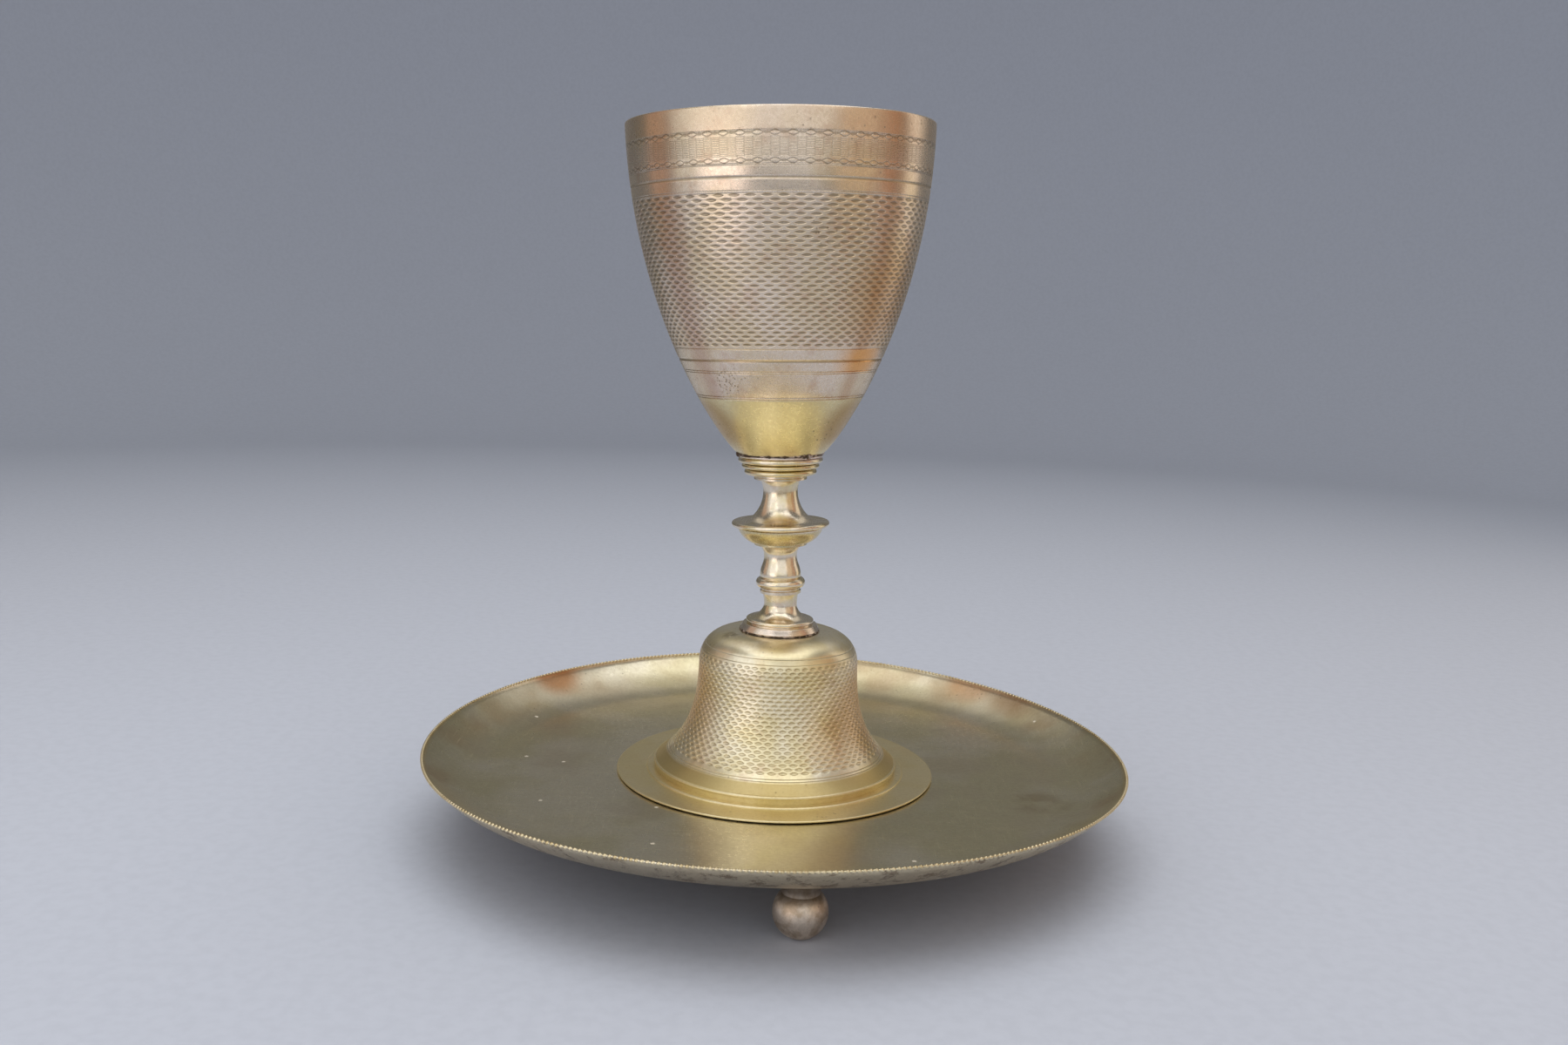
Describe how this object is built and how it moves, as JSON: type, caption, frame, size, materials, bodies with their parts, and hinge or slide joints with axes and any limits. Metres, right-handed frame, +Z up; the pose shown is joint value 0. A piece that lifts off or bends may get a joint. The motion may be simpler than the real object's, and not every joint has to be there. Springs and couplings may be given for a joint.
{
  "type": "chalice",
  "caption": "Tall egg-shaped ceremonial cup with engine-turned bands, on a baluster stem and hollow bell foot, resting loose in a wide shallow dish raised on ball feet.",
  "frame": {"origin": "on the floor under the ball feet, at the centre of the dish", "axes": "+Z up, square to the dish's floor; the pictured front faces -Y and its right is +X"},
  "size_m": [0.22, 0.22, 0.2201],
  "materials": {
    "worn_gilt": "worn gilding over silver, satin, finely engine-turned",
    "tarnished_silver": "turned, pinkish tarnished silver with traces of gilding",
    "dark_bronze": "olive-brown patina on satin sheet metal, lightly scratched",
    "rubbed_silver": "cast, greyish-pink, rubbed and stained"
  },
  "bodies": {
    "root": {"bowl": "worn_gilt", "bell_foot": "worn_gilt", "stem": "tarnished_silver", "dish": "dark_bronze", "front_ball_foot": "rubbed_silver", "right_ball_foot": "rubbed_silver", "left_ball_foot": "rubbed_silver"}
  },
  "joints": []
}
